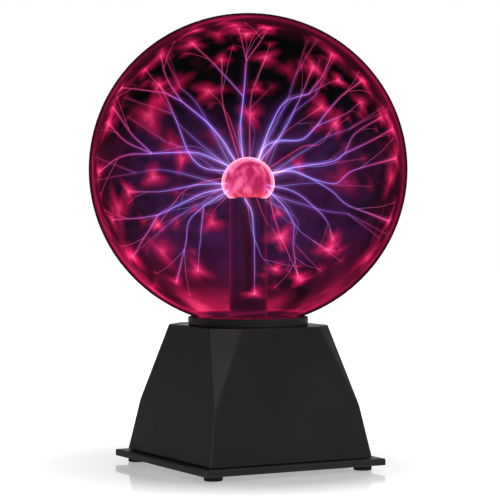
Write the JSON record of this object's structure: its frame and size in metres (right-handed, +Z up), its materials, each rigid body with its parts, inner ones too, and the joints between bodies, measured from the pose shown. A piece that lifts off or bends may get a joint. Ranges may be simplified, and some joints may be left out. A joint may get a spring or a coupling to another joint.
{
  "type": "plasma ball",
  "caption": "Desk plasma ball: a clear gas-filled globe with a lit centre electrode on a faceted square black base with a rear rocker switch and power socket.",
  "frame": {"origin": "middle of the square footprint, on the surface it stands on", "axes": "+Z up, +Y towards the back wall with the switch and the power socket, +X to the right seen from the front"},
  "size_m": [0.2026, 0.2026, 0.2883],
  "materials": {
    "globe_glass": "clear polished glass",
    "stem_glass": "clear polished glass",
    "electrode": "mottled coral-red conductive lining, lit",
    "base_plastic": "satin black moulded ABS with a fine grain",
    "control_plastic": "semi-gloss black",
    "rubber": "matt black rubber",
    "silicone": "soft grey silicone",
    "steel": "zinc-plated steel",
    "brass": "plain brass",
    "aluminium": "extruded aluminium",
    "board": "green solder mask",
    "ferrite": "dark grey sintered ferrite",
    "coil": "amber insulating tape",
    "chip": "black moulding compound",
    "capacitor": "dark blue sleeve",
    "red_wire": "red insulation",
    "black_wire": "black insulation",
    "white_wire": "white insulation"
  },
  "bodies": {
    "base": {"glass_globe": "globe_glass", "glass_stem": "stem_glass", "exhaust_tip": "stem_glass", "electrode_liner": "electrode", "stem_plug": "rubber", "neck_gasket": "silicone", "collar_ring": "base_plastic", "retainer_cup": "base_plastic", "retainer_screw_1": "steel", "retainer_screw_2": "steel", "retainer_screw_3": "steel", "retainer_screw_4": "steel", "base_housing": "base_plastic", "bottom_plate": "base_plastic", "plate_screw_1": "steel", "plate_screw_2": "steel", "plate_screw_3": "steel", "plate_screw_4": "steel", "rubber_foot_1": "rubber", "rubber_foot_2": "rubber", "rubber_foot_3": "rubber", "rubber_foot_4": "rubber", "driver_board": "board", "board_screw_1": "steel", "board_screw_2": "steel", "board_screw_3": "steel", "board_screw_4": "steel", "flyback_core": "ferrite", "flyback_coil": "coil", "heat_sink": "aluminium", "power_transistor": "chip", "transistor_screw": "steel", "input_capacitor": "capacitor", "output_capacitor": "capacitor", "timer_chip": "chip", "sound_chip": "chip", "power_socket": "control_plastic", "power_socket_pin": "brass", "power_socket_nut": "steel", "microphone": "aluminium", "microphone_boot": "rubber", "switch_frame": "control_plastic", "switch_terminal_on": "brass", "switch_terminal_common": "brass", "switch_terminal_sound": "brass", "high_voltage_lead": "red_wire", "switch_lead_on": "red_wire", "switch_lead_common": "black_wire", "switch_lead_sound": "white_wire", "socket_lead_positive": "red_wire", "socket_lead_negative": "black_wire", "microphone_lead": "white_wire"},
    "rocker": {"switch_rocker": "control_plastic", "switch_plunger": "steel", "switch_spring": "steel"},
    "contact": {"switch_contact_lever": "brass"}
  },
  "joints": [
    {"name": "rocker_pivot", "type": "hinge", "parent": "base", "child": "rocker", "pos_m": [0.019, 0.05187, 0.03474], "axis": [-1, 0, 0], "range_deg": [0, 24]},
    {"name": "contact_pivot", "type": "hinge", "parent": "base", "child": "contact", "pos_m": [0.019, 0.04291, 0.03313], "axis": [-1, 0, 0], "range_deg": [-15.84, 0]}
  ],
  "couplings": [
    {"joint": "contact_pivot", "follows": "rocker_pivot", "ratio": -0.66}
  ]
}
